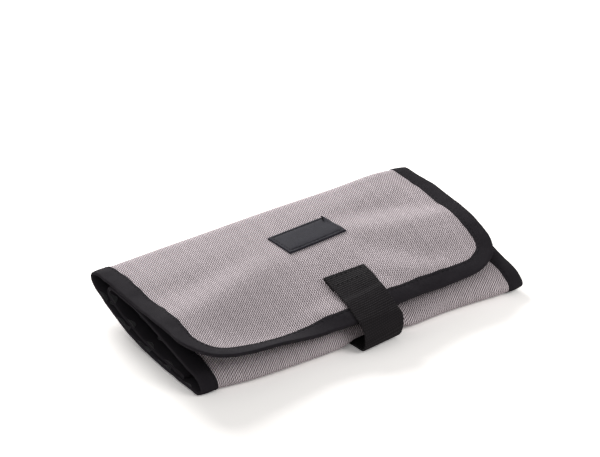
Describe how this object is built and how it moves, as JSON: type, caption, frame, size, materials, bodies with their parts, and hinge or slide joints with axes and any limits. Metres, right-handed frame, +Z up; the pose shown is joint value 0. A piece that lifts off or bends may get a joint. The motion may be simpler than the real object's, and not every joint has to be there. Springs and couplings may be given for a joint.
{
  "type": "pencil roll",
  "caption": "Soft woven-fabric pencil roll, folded flat, with bound edges, a curved front flap, a sewn label patch and a webbing strap that fastens under the roll.",
  "frame": {"origin": "middle of the underside of the closed roll's box", "axes": "+X along the pencils, to the right as seen from the strap's side; +Y towards the back fold, away from the strap; +Z up"},
  "size_m": [0.2206, 0.132, 0.028],
  "materials": {
    "outer_fabric": "coarse two-tone plain weave, matte",
    "lining_fabric": "fine plain weave, slight sheen",
    "binding_tape": "fine ribbed tape, matte",
    "strap_webbing": "ribbed webbing, matte",
    "label_leather": "fine grain, satin",
    "fastener_tape": "hook and loop pile, matte",
    "loop_elastic": "knitted elastic, matte"
  },
  "bodies": {
    "roll": {"back_fold_shell": "outer_fabric", "back_fold_lining": "lining_fabric", "back_fold_binding_left": "binding_tape", "back_fold_binding_right": "binding_tape", "bottom_shell": "outer_fabric", "bottom_lining": "lining_fabric", "bottom_binding_left": "binding_tape", "bottom_binding_right": "binding_tape", "front_fold_shell": "outer_fabric", "front_fold_lining": "lining_fabric", "front_fold_binding_left": "binding_tape", "front_fold_binding_right": "binding_tape", "middle_shell": "outer_fabric", "middle_lining": "lining_fabric", "middle_binding_left": "binding_tape", "middle_binding_right": "binding_tape", "inner_fold_shell": "outer_fabric", "inner_fold_lining": "lining_fabric", "inner_fold_binding_left": "binding_tape", "inner_fold_binding_right": "binding_tape", "inner_shell": "outer_fabric", "inner_lining": "lining_fabric", "inner_binding_left": "binding_tape", "inner_binding_right": "binding_tape", "inner_end_binding": "binding_tape", "loop_tape": "fastener_tape", "middle_loops_left": "loop_elastic", "middle_loops_right": "loop_elastic", "inner_loops_left": "loop_elastic", "inner_loops_right": "loop_elastic"},
    "flap": {"flap_shell": "outer_fabric", "flap_lining": "lining_fabric", "flap_binding": "binding_tape", "label_patch": "label_leather", "strap_anchor": "strap_webbing"},
    "strap_front": {"strap_front": "strap_webbing"},
    "strap_tip": {"strap_tip": "strap_webbing", "hook_tape": "fastener_tape"}
  },
  "joints": [
    {"name": "flap_open", "type": "hinge", "parent": "roll", "child": "flap", "pos_m": [0, 0.0658, 0.019], "axis": [-1, 0, 0], "range_deg": [0, 178], "deforming": ["back_fold_shell", "back_fold_lining", "back_fold_binding_left", "back_fold_binding_right", "strap_front", "strap_tip", "hook_tape"]},
    {"name": "strap_lift", "type": "hinge", "parent": "flap", "child": "strap_front", "pos_m": [0.0073, -0.06263, 0.01492], "axis": [-1, 0, 0], "range_deg": [0, 70]},
    {"name": "strap_peel", "type": "hinge", "parent": "strap_front", "child": "strap_tip", "pos_m": [0.0073, -0.06401, 0.00205], "axis": [-1, 0, 0], "range_deg": [0, 100]}
  ],
  "couplings": [
    {"joint": "strap_peel", "follows": "strap_lift", "ratio": 1.4285}
  ]
}
